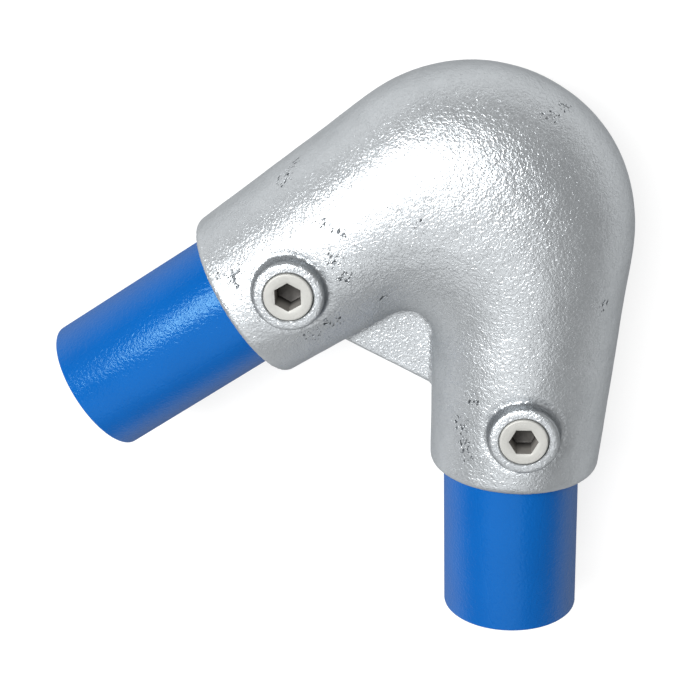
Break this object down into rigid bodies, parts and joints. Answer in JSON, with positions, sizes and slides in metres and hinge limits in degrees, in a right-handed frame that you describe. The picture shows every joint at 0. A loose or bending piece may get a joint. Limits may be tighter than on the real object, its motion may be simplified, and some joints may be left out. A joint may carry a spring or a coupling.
{
  "type": "tube elbow connector",
  "caption": "Cast elbow that clamps round tubes at an acute angle with hexagon socket set screws; flat web in the crotch; one socket lets its tube swing.",
  "frame": {"origin": "under the middle of the bounding box, on the plane that the back of the casting touches", "axes": "+Z square to the plane of both tubes, towards the screw heads; +Y from the crotch to the dome; +X to the side of the socket in which the tube can swing"},
  "size_m": [0.213, 0.189, 0.0692],
  "materials": {
    "galvanised_iron": "hot-dip galvanised, fine wrinkled zinc",
    "screw_steel": "satin protective coating",
    "blue_coating": "blue powder coat, slight orange peel"
  },
  "bodies": {
    "elbow": {"elbow_casting": "galvanised_iron"},
    "left_tube": {"tube_left": "blue_coating"},
    "right_tube": {"tube_right": "blue_coating"},
    "left_screw": {"set_screw_left": "screw_steel"},
    "right_screw": {"set_screw_right": "screw_steel"}
  },
  "joints": [
    {"name": "tube_left_slide", "type": "slide", "parent": "elbow", "child": "left_tube", "axis": [-0.4772, -0.8788, 0], "range_m": [0, 0.06]},
    {"name": "tube_right_swing", "type": "hinge", "parent": "elbow", "child": "right_tube", "pos_m": [0.05688, -0.03049, 0.034], "axis": [0, 0, -1], "range_deg": [0, 7]},
    {"name": "set_screw_left_travel", "type": "slide", "parent": "elbow", "child": "left_screw", "axis": [0, 0, 1], "range_m": [0, 0.0093]},
    {"name": "set_screw_right_travel", "type": "slide", "parent": "elbow", "child": "right_screw", "axis": [0, 0, 1], "range_m": [0, 0.0093]}
  ]
}
